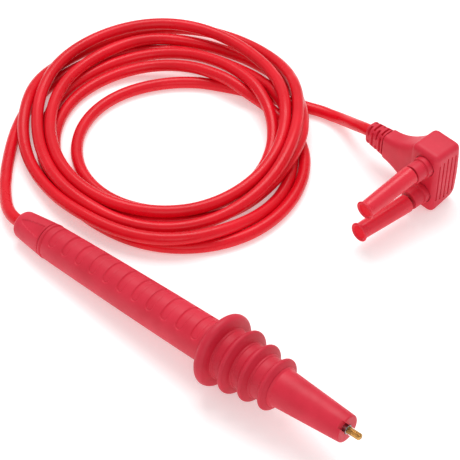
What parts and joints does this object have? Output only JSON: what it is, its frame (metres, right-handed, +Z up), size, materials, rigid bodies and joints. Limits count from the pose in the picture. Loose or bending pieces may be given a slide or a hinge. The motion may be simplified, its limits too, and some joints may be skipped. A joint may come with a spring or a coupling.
{
  "type": "insulation tester probe lead",
  "caption": "Red high-voltage probe with a ribbed finger guard and threaded tip, its coiled cable, and a right-angle double pin plug with push-on caps.",
  "frame": {"origin": "on the resting surface, under the middle of the probe's own box (boot end to stud end), measured without the cable and plug", "axes": "+X along the probe towards its tip, +Y towards the cable coil and the plug, +Z up"},
  "size_m": [0.2468, 0.1705, 0.032],
  "materials": {
    "matte_red": "matte moulded",
    "guard_red": "matte moulded",
    "cable_red": "glossy silicone",
    "cap_red": "semi-gloss",
    "liner_white": "satin",
    "brass": "machined",
    "steel": "machined",
    "copper": "stranded, drawn as one solid"
  },
  "bodies": {
    "root": {"probe_handle": "matte_red", "rear_boot": "matte_red", "finger_guard": "guard_red", "nose_cone": "matte_red", "threaded_tip": "brass", "probe_rod": "steel", "rod_liner": "liner_white", "tip_ferrule": "steel", "rod_crimp": "steel", "probe_lead_core": "copper", "probe_jacket_end": "cable_red", "cable_clamp": "liner_white", "cord_coil": "cable_red", "cord_probe_run": "cable_red", "cord_plug_run": "cable_red", "plug_body": "matte_red", "plug_strain_relief": "matte_red", "pin_bridge": "brass", "plug_crimp": "steel", "plug_lead_core": "copper", "plug_jacket_end": "cable_red", "pin_collar_upper": "matte_red", "pin_collar_lower": "matte_red", "banana_pin_upper": "brass", "banana_pin_lower": "brass", "spring_cage_upper": "brass", "spring_cage_lower": "brass"},
    "cap_upper": {"protective_cap_upper": "cap_red"},
    "cap_lower": {"protective_cap_lower": "cap_red"}
  },
  "joints": [
    {"name": "cap_upper_pull", "type": "slide", "parent": "root", "child": "cap_upper", "axis": [-0.0867, -0.9914, -0.0976], "range_m": [0, 0.025]},
    {"name": "cap_lower_pull", "type": "slide", "parent": "root", "child": "cap_lower", "axis": [-0.1478, -0.989, 0.0087], "range_m": [0, 0.025]}
  ]
}
